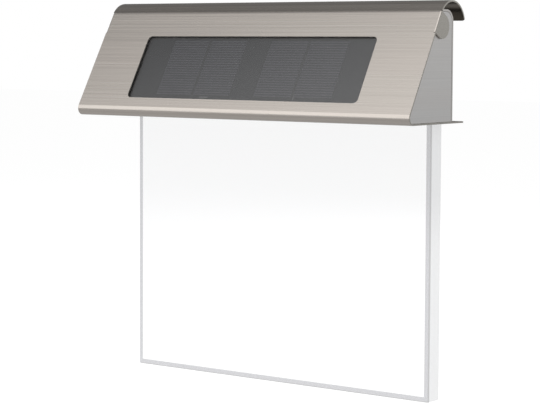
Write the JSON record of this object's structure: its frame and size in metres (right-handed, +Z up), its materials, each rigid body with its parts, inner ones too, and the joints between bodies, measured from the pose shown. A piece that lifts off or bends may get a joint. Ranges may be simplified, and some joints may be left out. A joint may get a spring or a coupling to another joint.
{
  "type": "solar fence light",
  "caption": "Solar light that hooks over a fence rod: bent steel hood with a sloping solar window and a clear plate hanging below, lit through its top edge.",
  "frame": {"origin": "on the axis of the fence rod seated in the hook, midway along the hood", "axes": "+X along the hood, -Y out of the front, +Z up"},
  "size_m": [0.205, 0.0504, 0.1957],
  "materials": {
    "hood_steel": "brushed along the hood",
    "end_steel": "brushed from front to back",
    "cover_steel": "brushed",
    "solar_glass": "clear over dark cells",
    "cell": "dark with fine fingers",
    "ribbon": "satin",
    "gasket": "matt",
    "backboard": "matt",
    "clear": "polished clear",
    "rail": "moulded",
    "white_board": "white mask",
    "led": "package with phosphor",
    "screw": "bright",
    "black_plastic": "moulded",
    "cell_can": "plain sleeve",
    "nickel": "bright",
    "seal": "matt",
    "green_board": "masked laminate",
    "chip": "matt",
    "coil": "ferrite",
    "capacitor": "bright",
    "resistor": "glazed",
    "post": "plain",
    "knob": "satin",
    "wire": "soft insulation"
  },
  "bodies": {
    "housing": {"hood": "hood_steel", "side_plate_right": "end_steel", "side_plate_left": "end_steel", "rear_cover": "cover_steel", "window_gasket": "gasket", "solar_glass": "solar_glass", "solar_cells": "cell", "cell_ribbons": "ribbon", "solar_backboard": "backboard", "acrylic_plate": "clear", "light_rail": "rail", "led_board": "white_board", "leds": "led", "battery_holder": "black_plastic", "battery_cell": "cell_can", "contact_plus": "nickel", "contact_spring": "nickel", "battery_door": "black_plastic", "door_seal": "seal", "control_board": "green_board", "board_posts": "post", "board_chip": "chip", "board_coil": "coil", "board_capacitor": "capacitor", "board_resistors": "resistor", "switch_frame": "cover_steel", "switch_body": "black_plastic", "switch_pins": "nickel", "cover_screws": "screw", "door_screws": "screw", "switch_screws": "screw", "rail_screws": "screw", "clamp_screws": "screw", "board_screws": "screw", "led_wires": "wire", "switch_wires": "wire", "battery_wires": "wire", "panel_wires": "wire"},
    "knob": {"switch_knob": "knob"}
  },
  "joints": [
    {"name": "switch_slide", "type": "slide", "parent": "housing", "child": "knob", "axis": [1, 0, 0], "range_m": [0, 0.003]}
  ]
}
